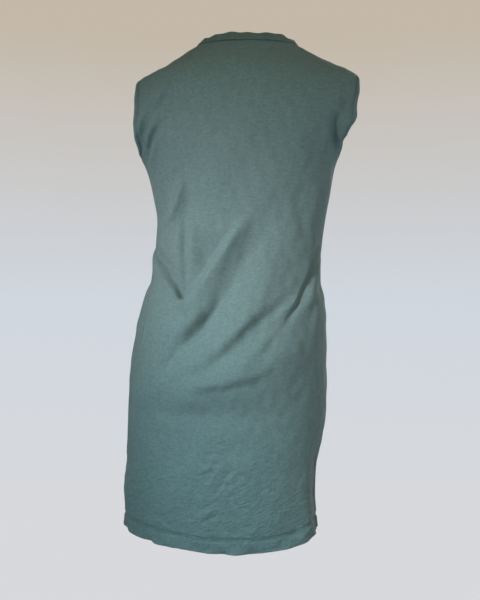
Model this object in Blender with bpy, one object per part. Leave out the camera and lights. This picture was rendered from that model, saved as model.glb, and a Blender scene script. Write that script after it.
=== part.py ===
"""Sleeveless t-shirt dress in cotton jersey, in the hollow form it has when worn.

Units are metres. +Z is up, -Y is the front of the dress and +X is the wearer's left.
The origin is midway between the two points where the shoulder seams meet the neck band.
Every piece is a thin wall on one smooth form: rings round the figure, one for each height,
with the large folds pressed into them.
"""
import bpy
import bmesh
import numpy as np

# Cloth
WALL = 0.0015
HEM_WALL = 0.0024
SEAM_GAP = 0.0003
HEM_DEPTH = 0.025
ROUNDING = 0.08

# Levels, measured down from the neck points
SHOULDER_TIP = -0.063
UNDERARM = -0.222
SLIT_TOP = -0.800
FRONT_HEM = -0.916
FRONT_NECK_DROP = 0.090
FRONT_NECK_ROUND = 1.8
FRONT_NECK_STEEP = 1.9
NECK_BLEND_LEVEL = -0.260

# Armholes: how far each edge is cut in from the widest part of a ring, at mid height, how
# steeply the cut grows from the shoulder and from the underarm, and how far from each end
# the turned edge is flattened into the seam
ARMHOLE_INSET = {"back": 0.036, "front": 0.054}
ARMHOLE_TOP_POWER = 1.0
ARMHOLE_FOOT_POWER = 1.4
ARMHOLE_END = 0.004

# Neck band
BAND_WIDTH = 0.018
BAND_WALL = 0.0020
BAND_STAND_BACK = 13.0
BAND_STAND_SIDE = 15.0
BAND_STAND_FRONT = 3.0

# Mesh density
BACK_COLUMNS = 36
FRONT_COLUMNS = 26
SLIT_ROWS = 7
BODY_ROWS = 30
ARMHOLE_ROWS = 11
SHOULDER_ROWS = 7
BAND_ROWS = 3
FOLD_SAMPLES = 70
PROBE_ANGLE = 0.015
PROBE_HEIGHT = 0.002

# Rings. Left and right are the reach of each panel in x, and depth is how far it stands
# from the shoulder line in y. Lean is the drop of a ring for each metre towards +X.
# The two panels have equal rows wherever a seam joins them and just past its ends.
SECTION_COLUMNS = ("height", "back_left", "back_right", "front_left", "front_right",
                   "back_depth", "front_depth", "lean")
SECTIONS = (
    (0.012, 0.085, -0.085, 0.085, -0.085, 0.052, 0.054, 0.000),
    (0.000, 0.102, -0.102, 0.102, -0.102, 0.062, 0.062, 0.000),
    (-0.018, 0.131, -0.129, 0.131, -0.129, 0.074, 0.070, 0.008),
    (-0.035, 0.159, -0.159, 0.159, -0.159, 0.084, 0.077, 0.018),
    (-0.050, 0.191, -0.191, 0.191, -0.191, 0.093, 0.082, 0.025),
    (-0.063, 0.217, -0.217, 0.217, -0.217, 0.100, 0.087, 0.028),
    (-0.085, 0.236, -0.235, 0.236, -0.235, 0.108, 0.092, 0.030),
    (-0.115, 0.251, -0.246, 0.251, -0.246, 0.113, 0.100, 0.031),
    (-0.150, 0.256, -0.246, 0.256, -0.246, 0.114, 0.112, 0.032),
    (-0.180, 0.242, -0.224, 0.242, -0.224, 0.113, 0.124, 0.033),
    (-0.205, 0.221, -0.197, 0.221, -0.197, 0.111, 0.131, 0.034),
    (-0.222, 0.209, -0.183, 0.209, -0.183, 0.109, 0.134, 0.034),
    (-0.250, 0.198, -0.173, 0.198, -0.173, 0.106, 0.134, 0.030),
    (-0.300, 0.187, -0.164, 0.187, -0.164, 0.101, 0.128, 0.018),
    (-0.345, 0.180, -0.155, 0.180, -0.155, 0.098, 0.121, 0.008),
    (-0.385, 0.183, -0.149, 0.183, -0.149, 0.099, 0.116, 0.000),
    (-0.425, 0.187, -0.145, 0.187, -0.145, 0.103, 0.114, 0.000),
    (-0.465, 0.192, -0.145, 0.192, -0.145, 0.109, 0.114, 0.000),
    (-0.503, 0.207, -0.153, 0.207, -0.153, 0.117, 0.116, 0.000),
    (-0.543, 0.219, -0.157, 0.219, -0.157, 0.126, 0.118, 0.000),
    (-0.603, 0.227, -0.157, 0.227, -0.157, 0.135, 0.119, 0.000),
    (-0.663, 0.235, -0.157, 0.235, -0.157, 0.134, 0.117, 0.000),
    (-0.723, 0.238, -0.155, 0.238, -0.155, 0.125, 0.114, 0.000),
    (-0.800, 0.239, -0.145, 0.239, -0.145, 0.119, 0.112, 0.000),
    (-0.804, 0.239, -0.144, 0.239, -0.144, 0.119, 0.112, 0.000),
    (-0.840, 0.241, -0.138, 0.243, -0.133, 0.118, 0.112, 0.000),
    (-0.880, 0.243, -0.137, 0.247, -0.128, 0.118, 0.112, 0.000),
    (-0.930, 0.243, -0.142, 0.249, -0.124, 0.118, 0.112, 0.000),
    (-0.990, 0.242, -0.152, 0.249, -0.122, 0.120, 0.112, 0.000),
)

# Where the side edges run below the armholes, in degrees round the ring from the side
# towards the back. Above the slits the two panels share one seam line.
EDGE_COLUMNS = ("height", "back_left", "back_right", "front_left", "front_right")
EDGES = (
    (-0.222, 0.0, 0.0, 0.0, 0.0),
    (-0.345, 5.0, 5.0, 5.0, 5.0),
    (-0.425, 14.0, 10.0, 14.0, 10.0),
    (-0.480, 20.0, 17.0, 20.0, 17.0),
    (-0.536, 30.0, 29.0, 30.0, 29.0),
    (-0.580, 28.0, 33.0, 28.0, 33.0),
    (-0.640, 20.0, 32.0, 20.0, 32.0),
    (-0.723, 9.0, 26.0, 9.0, 26.0),
    (-0.800, 2.0, 13.0, 2.0, 13.0),
    (-0.804, 1.9, 12.7, 1.9, 12.7),
    (-0.840, 0.0, 9.0, -3.0, 2.0),
    (-0.880, -3.0, 9.0, -8.0, -6.0),
    (-0.930, -5.0, 10.0, -10.0, -9.0),
    (-0.990, -6.0, 11.0, -10.0, -9.0),
)

# Lower edge of the back, from the right slit (-1) to the left slit (1)
BACK_HEM_COLUMNS = ("across", "height")
BACK_HEM = (
    (-1.00, -0.948),
    (-0.80, -0.957),
    (-0.55, -0.971),
    (-0.20, -0.978),
    (0.00, -0.975),
    (0.12, -0.969),
    (0.30, -0.964),
    (0.55, -0.958),
    (0.80, -0.945),
    (1.00, -0.941),
)

# Large folds: points (x, z) that each one runs through as seen from behind or in front,
# its half width below and above the line, and its height (a trough is negative).
FOLD_COLUMNS = ("panel", "points", "width_below", "width_above", "height")
FOLDS = (
    ("back", ((0.137, -0.074), (0.170, -0.121), (0.200, -0.166), (0.211, -0.215)), 0.01, 0.014, 0.009),
    ("back", ((0.160, -0.112), (0.184, -0.141), (0.199, -0.176), (0.205, -0.208)), 0.012, 0.008, -0.0085),
    ("back", ((0.172, -0.183), (0.182, -0.214), (0.190, -0.250)), 0.01, 0.011, 0.0045),
    ("back", ((-0.192, -0.140), (-0.168, -0.160), (-0.166, -0.192), (-0.172, -0.222)),
     0.009, 0.011, -0.011),
    ("back", ((-0.146, -0.150), (-0.150, -0.200), (-0.148, -0.250)), 0.014, 0.014, 0.004),
    ("back", ((0.125, -0.261), (0.131, -0.302), (0.146, -0.341), (0.166, -0.376)), 0.008, 0.016, 0.0065),
    ("back", ((0.110, -0.275), (0.117, -0.322), (0.132, -0.358), (0.149, -0.387)), 0.014, 0.008, -0.0045),
    ("back", ((0.127, -0.326), (0.123, -0.400), (0.122, -0.475)), 0.009, 0.008, -0.006),
    ("back", ((-0.097, -0.270), (-0.104, -0.344), (-0.110, -0.410)), 0.016, 0.014, -0.0022),
    ("back", ((0.190, -0.404), (0.172, -0.436), (0.154, -0.466), (0.131, -0.502)), 0.022, 0.008, 0.008),
    ("back", ((0.181, -0.404), (0.164, -0.432), (0.146, -0.462), (0.124, -0.497)), 0.008, 0.016, -0.0085),
    ("back", ((0.124, -0.510), (0.079, -0.461), (0.051, -0.418), (0.023, -0.376), (-0.002, -0.330)),
     0.017, 0.008, 0.0095),
    ("back", ((-0.041, -0.303), (-0.030, -0.350), (-0.011, -0.397), (0.015, -0.445), (0.051, -0.503),
              (0.080, -0.546), (0.103, -0.570), (0.127, -0.594), (0.153, -0.622)), 0.022, 0.022, -0.0085),
    ("back", ((0.030, -0.470), (0.056, -0.510), (0.080, -0.544), (0.103, -0.572), (0.129, -0.594),
              (0.152, -0.628)), 0.008, 0.013, -0.0095),
    ("back", ((-0.063, -0.387), (-0.041, -0.451), (-0.007, -0.514), (0.034, -0.563), (0.079, -0.596)),
     0.022, 0.022, 0.004),
    ("back", ((-0.091, -0.477), (-0.059, -0.518), (-0.028, -0.542), (-0.002, -0.568), (0.030, -0.598),
              (0.077, -0.632), (0.120, -0.650)), 0.024, 0.013, -0.0075),
    ("back", ((-0.046, -0.503), (-0.015, -0.525), (0.011, -0.551), (0.043, -0.579), (0.086, -0.609)),
     0.01, 0.012, 0.003),
    ("back", ((-0.063, -0.561), (-0.037, -0.593), (-0.007, -0.622)), 0.013, 0.01, -0.0035),
    ("back", ((-0.143, -0.424), (-0.134, -0.452), (-0.124, -0.480), (-0.108, -0.514), (-0.090, -0.546)),
     0.014, 0.009, 0.005),
    ("back", ((0.131, -0.682), (0.071, -0.676), (0.011, -0.665), (-0.037, -0.647), (-0.069, -0.628)),
     0.03, 0.01, -0.0035),
    ("back", ((0.118, -0.663), (0.067, -0.658), (0.011, -0.645), (-0.033, -0.628)), 0.01, 0.016, 0.0025),
    ("back", ((0.202, -0.663), (0.127, -0.652), (0.034, -0.641), (-0.050, -0.619), (-0.108, -0.596)),
     0.044, 0.06, 0.0125),
    ("front", ((0.150, -0.250), (0.110, -0.330), (0.060, -0.400), (0.010, -0.450)), 0.018, 0.012, -0.007),
    ("front", ((-0.130, -0.260), (-0.105, -0.330), (-0.080, -0.395)), 0.016, 0.012, -0.006),
    ("front", ((-0.140, -0.430), (-0.090, -0.480), (-0.030, -0.520), (0.040, -0.545)),
     0.018, 0.01, -0.0075),
    ("front", ((0.195, -0.480), (0.150, -0.520), (0.095, -0.545)), 0.014, 0.01, -0.0065),
    ("front", ((-0.150, -0.520), (-0.080, -0.575), (0.010, -0.600)), 0.02, 0.012, -0.0055),
    ("front", ((0.180, -0.170), (0.165, -0.215), (0.135, -0.250)), 0.012, 0.009, -0.006),
    ("front", ((-0.168, -0.165), (-0.150, -0.210), (-0.125, -0.240)), 0.012, 0.009, -0.006),
)

# Wide troughs or ridges where the skirt hangs free: place round the ring in degrees,
# half width in degrees and height at the hem
HANG_COLUMNS = ("place", "width", "height")
HANGS = (
    (16.0, 11.0, 0.004),
    (42.0, 13.0, -0.004),
    (66.0, 14.0, 0.003),
    (146.0, 10.0, 0.005),
    (163.0, 8.0, -0.005),
    (205.0, 13.0, 0.004),
    (233.0, 14.0, -0.006),
    (262.0, 13.0, 0.005),
    (292.0, 14.0, -0.006),
    (322.0, 13.0, 0.006),
)
HANG_TOP = -0.680

# Finish: jersey colour (linear), roughness
COTTON_GREEN = (0.120, 0.205, 0.195, 1.0)
RIB_GREEN = (0.105, 0.180, 0.170, 1.0)
COTTON_ROUGHNESS = 0.88


def named_column(table, columns, name):
    """One column of a table, ordered by its first column."""
    rows = sorted(table)
    index = columns.index(name)
    return np.array([row[index] for row in rows], dtype=float)


def knot_slopes(places, values):
    """Slopes at the knots that keep a curve smooth and free of overshoot."""
    steps = np.diff(places)
    rises = np.diff(values) / steps
    slopes = np.zeros(len(values))
    slopes[0] = rises[0]
    slopes[-1] = rises[-1]
    for i in range(1, len(values) - 1):
        if rises[i - 1] * rises[i] > 0.0:
            before = 2.0 * steps[i] + steps[i - 1]
            after = steps[i] + 2.0 * steps[i - 1]
            slopes[i] = (before + after) / (before / rises[i - 1] + after / rises[i])
    return slopes


def smooth_curve(places, values):
    """A function that runs smoothly through the values at the given places."""
    slopes = knot_slopes(places, values)

    def curve(position):
        position = np.clip(position, places[0], places[-1])
        i = np.clip(np.searchsorted(places, position) - 1, 0, len(places) - 2)
        step = places[i + 1] - places[i]
        t = (position - places[i]) / step
        blend = t * t * (3.0 - 2.0 * t)
        leave = t * (1.0 - t) ** 2 * step
        arrive = -t * t * (1.0 - t) * step
        return (values[i] + (values[i + 1] - values[i]) * blend
                + slopes[i] * leave + slopes[i + 1] * arrive)

    return curve


def table_curves(table, columns):
    """A smooth curve for each column of a table, over its first column."""
    places = named_column(table, columns, columns[0])
    return {name: smooth_curve(places, named_column(table, columns, name)) for name in columns[1:]}


SECTION = table_curves(SECTIONS, SECTION_COLUMNS)
EDGE = table_curves(EDGES, EDGE_COLUMNS)
BACK_HEM_LINE = table_curves(BACK_HEM, BACK_HEM_COLUMNS)["height"]


def across_share(angle):
    """Share of the half width that a ring reaches at an angle."""
    return np.cos(angle) * (1.0 + ROUNDING * np.sin(angle) ** 2)


def angle_at_share(share):
    """Ring angle at which a ring reaches a share of its half width."""
    share = np.clip(share, 0.0, 1.0)
    return np.arccos(share / (1.0 + ROUNDING * (1.0 - share * share)))


def ring_frame(panel, height):
    """Centre and half width of a panel's ring at a height."""
    left = SECTION[panel + "_left"](height)
    right = SECTION[panel + "_right"](height)
    return (left + right) / 2.0, (left - right) / 2.0


def armhole_angle(panel, height):
    """Angle round the ring, in radians, from the side to a panel's armhole edge."""
    middle = (SHOULDER_TIP + UNDERARM) / 2.0
    place = np.clip((height - middle) / (SHOULDER_TIP - middle), -1.0, 1.0)
    power = np.where(place > 0.0, ARMHOLE_TOP_POWER, ARMHOLE_FOOT_POWER)
    inset = ARMHOLE_INSET[panel] * (1.0 - place * place) ** power
    half = ring_frame(panel, height)[1]
    return angle_at_share((half - inset) / half)


def form(panel, angle, height):
    """A point on the smooth form, without folds. Angle 0 is the left side, 90 degrees the back."""
    centre, half = ring_frame(panel, height)
    depth = np.where(np.sin(angle) >= 0.0, SECTION["back_depth"](height), SECTION["front_depth"](height))
    x = centre + half * across_share(angle)
    y = depth * np.sin(angle) * (1.0 + ROUNDING * np.cos(angle) ** 2)
    z = height - SECTION["lean"](height) * x
    return np.stack(np.broadcast_arrays(x, y, z), axis=-1)


def unit(vectors):
    """Vectors scaled to length one."""
    return vectors / np.linalg.norm(vectors, axis=-1, keepdims=True)


def outward(surface, panel, angle, height):
    """Outward direction of a surface function at a place on it."""
    round_ring = surface(panel, angle + PROBE_ANGLE, height) - surface(panel, angle - PROBE_ANGLE, height)
    up_form = surface(panel, angle, height + PROBE_HEIGHT) - surface(panel, angle, height - PROBE_HEIGHT)
    return unit(np.cross(round_ring, up_form))


def fold_place(panel, x, z):
    """Angle and height on the form of a point seen from behind or in front."""
    height = z + SECTION["lean"](z) * x
    centre, half = ring_frame(panel, height)
    share = (x - centre) / half
    turn = angle_at_share(np.abs(share))
    angle = np.where(share >= 0.0, turn, np.pi - turn)
    return (angle if panel == "back" else -angle), height


def run_through(points, samples):
    """Evenly numbered samples of a smooth curve through a few points."""
    knots = np.arange(len(points), dtype=float)
    at = np.linspace(0.0, len(points) - 1.0, samples)
    return np.stack([smooth_curve(knots, points[:, k])(at) for k in range(points.shape[1])], axis=-1)


def fold_lines():
    """Each fold as samples on the form, with the direction that points below the line."""
    lines = []
    for row in FOLDS:
        fold = dict(zip(FOLD_COLUMNS, row))
        places = np.array([fold_place(fold["panel"], x, z) for x, z in fold["points"]], dtype=float)
        track = run_through(places, FOLD_SAMPLES)
        points = form(fold["panel"], track[:, 0], track[:, 1])
        normals = outward(form, fold["panel"], track[:, 0], track[:, 1])
        along = np.gradient(points, axis=0)
        below = unit(np.cross(along, normals))
        below = below * np.where(below[:, 2:3] > 0.0, -1.0, 1.0)
        taper = np.sin(np.pi * np.linspace(0.04, 0.96, FOLD_SAMPLES)) ** 0.55
        lines.append((fold, points, below, taper))
    return lines


FOLD_LINES = fold_lines()


def fold_height(points):
    """Height of the folds above the smooth form at each point."""
    flat = points.reshape(-1, 3)
    total = np.zeros(len(flat))
    for fold, line, below, taper in FOLD_LINES:
        offset = flat[:, None, :] - line[None, :, :]
        distance = np.linalg.norm(offset, axis=-1)
        nearest = distance.argmin(axis=1)
        rows = np.arange(len(flat))
        side = np.einsum("ij,ij->i", offset[rows, nearest], below[nearest])
        width = np.where(side > 0.0, fold["width_below"], fold["width_above"])
        total += fold["height"] * taper[nearest] * np.exp(-(distance[rows, nearest] / width) ** 2)
    return total.reshape(points.shape[:-1])


def hang_height(angle, height):
    """Soft upright waves of the free skirt, growing towards the hem."""
    total = np.zeros(np.broadcast(angle, height).shape)
    share = np.clip((HANG_TOP - height) / (HANG_TOP - FRONT_HEM), 0.0, 1.2)
    place = np.degrees(angle)
    for row in HANGS:
        hang = dict(zip(HANG_COLUMNS, row))
        away = (place - hang["place"] + 180.0) % 360.0 - 180.0
        total += hang["height"] * share ** 1.5 * np.exp(-(away / hang["width"]) ** 2)
    return total


def cloth(panel, angle, height):
    """A point on the outer face of the cloth, with its folds."""
    base = form(panel, angle, height)
    lift = fold_height(base) + hang_height(angle, height)
    return base + outward(form, panel, angle, height) * lift[..., None]


def edge_angle(panel, side, height):
    """Ring angle of a panel's edge on one side: armhole, seam or slit."""
    seam = np.radians(EDGE[panel + "_" + side](height))
    armhole = armhole_angle(panel, height) * (1.0 if panel == "back" else -1.0)
    turn = np.where(height > UNDERARM, armhole, seam)
    return turn if side == "left" else np.pi - turn


def panel_angle(panel, across, height):
    """Ring angle of a place across a panel, from its right edge (-1) to its left (1)."""
    middle = np.pi / 2.0 if panel == "back" else -np.pi / 2.0
    left = edge_angle(panel, "left", height)
    right = edge_angle(panel, "right", height)
    if panel == "front":
        right = right - 2.0 * np.pi
    depth = np.where(np.sin(left) >= 0.0, SECTION["back_depth"](height), SECTION["front_depth"](height))
    setback = SEAM_GAP / 2.0 / (depth * (1.0 + ROUNDING))
    sign = 1.0 if panel == "back" else -1.0
    left = left + sign * setback
    right = right - sign * setback
    return np.where(across >= 0.0, middle + (left - middle) * across, middle + (middle - right) * across)


def row_heights():
    """Heights of the rows above the slits: body, armholes and shoulders."""
    body = np.linspace(SLIT_TOP, UNDERARM, BODY_ROWS + 1)
    turn = np.linspace(np.pi, 0.0, ARMHOLE_ROWS + 1)[1:]
    middle = (SHOULDER_TIP + UNDERARM) / 2.0
    half = (SHOULDER_TIP - UNDERARM) / 2.0
    armhole = middle + half * np.cos(turn)
    shoulder = np.linspace(SHOULDER_TIP, 0.0, SHOULDER_ROWS + 1)[1:]
    return np.concatenate([body, armhole, shoulder])


def neck_drop(angle):
    """How far the front neckline has dropped at a ring angle."""
    aside = np.clip(np.cos(angle), 0.0, 1.0) ** FRONT_NECK_ROUND
    return FRONT_NECK_DROP * (1.0 - aside) ** FRONT_NECK_STEEP


def panel_grid(panel, columns):
    """Place across and height of each point of a panel, row by row from the hem up."""
    across = np.linspace(-1.0, 1.0, columns + 1)
    hem = BACK_HEM_LINE(across) if panel == "back" else np.full(len(across), FRONT_HEM)
    rows = [hem, hem + HEM_DEPTH]
    start = hem + HEM_DEPTH
    for share in np.linspace(0.0, 1.0, SLIT_ROWS)[1:-1]:
        rows.append(start + (SLIT_TOP - start) * share)
    for height in row_heights():
        row = np.full(len(across), height)
        if panel == "front" and height > NECK_BLEND_LEVEL:
            turn = panel_angle(panel, across, row)
            edge_turn = np.clip(np.minimum(-turn, np.pi + turn), 0.0, np.pi / 2.0)
            squeeze = neck_drop(edge_turn) / -NECK_BLEND_LEVEL
            row = NECK_BLEND_LEVEL + (height - NECK_BLEND_LEVEL) * (1.0 - squeeze)
        rows.append(row)
    heights = np.array(rows)
    return np.broadcast_to(across, heights.shape), heights


def panel_angles(panel, across, heights):
    """Ring angles of a panel's grid, each row following the edges at its own ends."""
    if panel == "back":
        return panel_angle(panel, across, heights)
    edge_height = np.broadcast_to(heights[:, :1], heights.shape)
    return panel_angle(panel, across, edge_height)


def grid_solid(name, outer, inner, closed):
    """Close an outer and an inner grid of points into one solid object."""
    rows, columns = outer.shape[:2]
    mesh = bpy.data.meshes.new(name)
    shell = bmesh.new()
    faces = [[[shell.verts.new(point) for point in row] for row in grid] for grid in (outer, inner)]
    span = columns if closed else columns - 1
    for side in faces:
        for j in range(rows - 1):
            for i in range(span):
                k = (i + 1) % columns
                shell.faces.new((side[j][i], side[j][k], side[j + 1][k], side[j + 1][i]))
    for j in (0, rows - 1):
        for i in range(span):
            k = (i + 1) % columns
            shell.faces.new((faces[0][j][i], faces[0][j][k], faces[1][j][k], faces[1][j][i]))
    if not closed:
        for i in (0, columns - 1):
            for j in range(rows - 1):
                shell.faces.new((faces[0][j][i], faces[0][j + 1][i], faces[1][j + 1][i], faces[1][j][i]))
    bmesh.ops.recalc_face_normals(shell, faces=shell.faces)
    shell.to_mesh(mesh)
    shell.free()
    mesh.shade_smooth()
    mesh.set_sharp_from_angle(angle=np.radians(50.0))
    piece = bpy.data.objects.new(name, mesh)
    bpy.context.scene.collection.objects.link(piece)
    return piece


def make_material(name, colour):
    """A plain matt cloth."""
    material = bpy.data.materials.new(name)
    material.use_nodes = True
    shader = material.node_tree.nodes["Principled BSDF"]
    shader.inputs["Base Color"].default_value = colour
    shader.inputs["Roughness"].default_value = COTTON_ROUGHNESS
    shader.inputs["Metallic"].default_value = 0.0
    return material


def make_panel(panel, columns):
    """One panel: its outer face, and an inner face that is thicker where the hem is turned up."""
    across, heights = panel_grid(panel, columns)
    angles = panel_angles(panel, across, heights)
    outer = cloth(panel, angles, heights)
    wall = np.full(heights.shape, WALL)
    wall[:2, :] = HEM_WALL
    in_armhole = (heights[:, 0] > UNDERARM + ARMHOLE_END) & (heights[:, 0] < SHOULDER_TIP - ARMHOLE_END)
    wall[in_armhole, 0] = HEM_WALL
    wall[in_armhole, -1] = HEM_WALL
    inner = outer - outward(cloth, panel, angles, heights) * wall[..., None]
    return grid_solid(panel + "_panel", outer, inner, closed=False)


def band_stand(angle):
    """Angle, in radians, by which the neck band stands up from the panel it is sewn to."""
    back = np.clip(np.sin(angle), 0.0, 1.0)
    front = np.clip(-np.sin(angle), 0.0, 1.0)
    stand = BAND_STAND_SIDE + (BAND_STAND_BACK - BAND_STAND_SIDE) * back
    stand += (BAND_STAND_FRONT - BAND_STAND_SIDE) * front
    return np.radians(stand)


def neckline(angle):
    """Points of the neck seam and the outward direction of the cloth there."""
    turn = np.arcsin(np.clip(-np.sin(angle), 0.0, 1.0))
    height = -neck_drop(turn)
    front = (np.sin(angle) < 0.0)[:, None]
    seam = np.where(front, cloth("front", angle, height), cloth("back", angle, height))
    out = np.where(front, outward(cloth, "front", angle, height), outward(cloth, "back", angle, height))
    return seam, out


def make_neck_band():
    """The folded strip that stands up round the neckline."""
    over_back = np.linspace(0.0, np.pi, BACK_COLUMNS + 1)[:-1]
    over_front = np.linspace(np.pi, 2.0 * np.pi, FRONT_COLUMNS + 1)[:-1]
    angle = np.concatenate([over_back, over_front])
    seam, out = neckline(angle)
    along = unit(np.roll(seam, -1, axis=0) - np.roll(seam, 1, axis=0))
    rise = unit(np.cross(out, along))
    stand = band_stand(angle)[:, None]
    direction = rise * np.cos(stand) + out * np.sin(stand)
    face = out * np.cos(stand) - rise * np.sin(stand)
    steps = np.linspace(SEAM_GAP, BAND_WIDTH, BAND_ROWS + 1)
    outer = np.stack([seam + direction * step for step in steps])
    inner = outer - face[None, :, :] * BAND_WALL
    return grid_solid("neck_band", outer, inner, closed=True)


def clear_scene():
    """Remove whatever objects the scene holds."""
    for item in list(bpy.data.objects):
        bpy.data.objects.remove(item, do_unlink=True)


def build():
    """Make the whole dress."""
    clear_scene()
    jersey = make_material("jersey", COTTON_GREEN)
    band_jersey = make_material("band_jersey", RIB_GREEN)
    back = make_panel("back", BACK_COLUMNS)
    front = make_panel("front", FRONT_COLUMNS)
    band = make_neck_band()
    back.data.materials.append(jersey)
    front.data.materials.append(jersey)
    band.data.materials.append(band_jersey)


build()
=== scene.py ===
"""Looks of a sleeveless t-shirt dress in cotton jersey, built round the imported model.

Units are metres. +Z is up, -Y is the front of the dress and +X is the wearer's left.
Each panel is one smooth form of rings with folds, creases and seams pressed into it.
"""
import bpy
import math
import numpy as np
import random
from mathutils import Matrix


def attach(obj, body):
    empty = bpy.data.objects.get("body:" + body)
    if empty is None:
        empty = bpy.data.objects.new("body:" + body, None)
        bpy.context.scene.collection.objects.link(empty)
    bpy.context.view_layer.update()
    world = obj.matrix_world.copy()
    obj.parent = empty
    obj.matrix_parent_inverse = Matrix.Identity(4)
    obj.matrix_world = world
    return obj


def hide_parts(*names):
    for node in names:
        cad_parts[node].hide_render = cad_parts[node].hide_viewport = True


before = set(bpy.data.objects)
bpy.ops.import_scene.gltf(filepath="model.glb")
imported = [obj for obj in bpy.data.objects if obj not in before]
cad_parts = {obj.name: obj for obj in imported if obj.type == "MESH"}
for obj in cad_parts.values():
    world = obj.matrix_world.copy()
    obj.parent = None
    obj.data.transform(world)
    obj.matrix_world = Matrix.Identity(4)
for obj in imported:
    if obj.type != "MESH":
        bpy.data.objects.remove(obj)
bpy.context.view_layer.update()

MM_IN_METRE = 1000.0
TINY = 1e-12

# Cloth
WALL = 0.0015
HEM_WALL = 0.0026
ROUNDING = 0.08
EDGE_ROUND = 0.0016
RIM = 0.0003

# Levels, measured down from the neck points
SHOULDER_TIP = -0.063
UNDERARM = -0.222
SLIT_TOP = -0.800
FRONT_HEM = -0.916
FRONT_NECK_DROP = 0.090
FRONT_NECK_ROUND = 1.8
FRONT_NECK_STEEP = 1.9
NECK_BLEND_LEVEL = -0.260
HANG_TOP = -0.680

# Armholes
ARMHOLE_INSET = {"back": 0.036, "front": 0.054}
ARMHOLE_TOP_POWER = 1.0
ARMHOLE_FOOT_POWER = 1.4

# Neck band
BAND_WIDTH = 0.018
BAND_STAND_BACK = 13.0
BAND_STAND_SIDE = 15.0
BAND_STAND_FRONT = 3.0
BAND_COLUMNS = 300
# Cross section of the band: distance up from the seam and depth below its face
BAND_PROFILE = ((0.0002, 0.0022), (-0.0004, 0.0006), (0.0004, -0.0006), (0.0025, -0.0012), (0.0060, -0.0012),
                (0.0130, -0.0006), (0.0160, -0.0001), (0.0173, 0.0003), (0.0179, 0.0009), (0.0177, 0.0015),
                (0.0165, 0.0019), (0.0120, 0.0022), (0.0060, 0.0022), (0.0004, 0.0020), (-0.0012, 0.0018))
# Waves of its fold: how many round the neck, size and shift, and how the bends follow them
BEND_SHIFT = 1.7
BAND_WAVES = ((7.0, 0.0013, 0.6), (12.0, 0.0011, 2.1), (19.0, 0.0010, 4.0), (31.0, 0.0005, 2.0))

# Sewing: distance of each stitch line from its edge, and the stitches themselves
HEM_LINES = (0.0235, 0.0275)
ARMHOLE_LINES = (0.0090, 0.0120)
SLIT_LINES = (0.0100,)
STITCH_LENGTH = 0.0027
STITCH_GAP = 0.0007
THREAD_RADIUS = 0.00022
GROOVE_DEPTH = 0.0023
GROOVE_WIDTH = 0.0019
ARMHOLE_TURN = 0.0140
SLIT_TURN = 0.0120
HEM_TURN = 0.0285
SEAM_DIP = 0.0010
SEAM_DIP_WIDTH = 0.0025
NECK_DIP = 0.0030
NECK_DIP_WIDTH = 0.0022
# Over what height the sewing of an armhole or slit takes over from the side seam
EDGE_FADE = 0.012
# One stitch: share along it, thickness and rise above the cloth, in thread radii
STITCH_SHAPE = ((0.0, 0.35, -0.6), (0.12, 0.9, 0.3), (0.5, 1.0, 0.9), (0.88, 0.9, 0.3), (1.0, 0.35, -0.6))
STITCH_SIDES = 6

# Mesh density: fixed steps in from each edge, then even steps
SIDE_STEPS = (0.0, 0.0004, 0.0010, 0.0020, 0.0040, 0.0065, 0.0085, 0.0100, 0.0115, 0.0135, 0.0165, 0.0200)
HEM_STEPS = (0.0, 0.0004, 0.0010, 0.0022, 0.0045, 0.0080, 0.0120, 0.0160, 0.0195, 0.0220, 0.0235, 0.0250,
             0.0265, 0.0280, 0.0300, 0.0330)
NECK_STEPS = (0.0, 0.0004, 0.0010, 0.0022, 0.0040, 0.0065)
MIDDLE_COLUMNS = 172
SLIT_ROWS = 40
BODY_ROWS = 206
ARMHOLE_ROWS = 58
SHOULDER_ROWS = 36
PROBE_ANGLE = 0.008
PROBE_HEIGHT = 0.0015
# Samples along a fold, how many half widths away it still counts, and its fade at the ends
LINE_SPACING = 0.004
LEAST_SAMPLES = 4
FOLD_REACH = 2.6
FOLD_FADE = 0.4
BELOW_HINT = (-0.3, 0.0, -1.0)

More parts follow.
